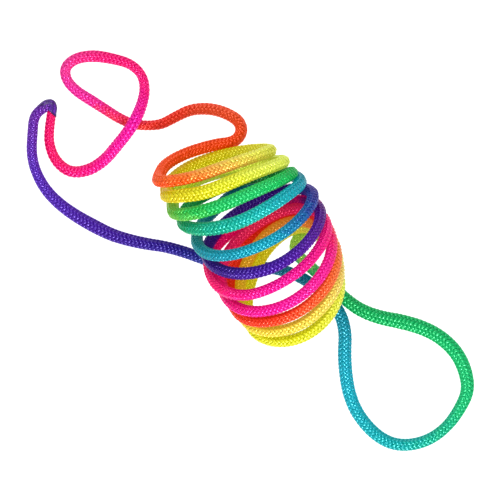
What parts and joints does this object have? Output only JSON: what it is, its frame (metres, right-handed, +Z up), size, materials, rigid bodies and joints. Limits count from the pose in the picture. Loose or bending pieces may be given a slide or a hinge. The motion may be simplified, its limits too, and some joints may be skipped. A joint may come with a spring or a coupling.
{
  "type": "loop cord",
  "caption": "Endless braided rainbow cord for string games, fused into one loop and wound into a loose leaning coil with a foot loop and a tail.",
  "frame": {"origin": "on the surface that the cord lies on, under the middle of the object", "axes": "+Z up, +X from the fused joint towards the foot loop, +Y towards the crossing loop"},
  "size_m": [0.1947, 0.1743, 0.0452],
  "materials": {
    "braided_cord": "glossy multifilament braid, dyed through a rainbow that repeats along the cord",
    "melted_joint": "melted and glazed fibre"
  },
  "bodies": {
    "root": {"crossing_loop": "braided_cord", "foot_loop": "braided_cord", "tail": "braided_cord", "wound_coil": "braided_cord", "fused_joint": "melted_joint"}
  },
  "joints": []
}
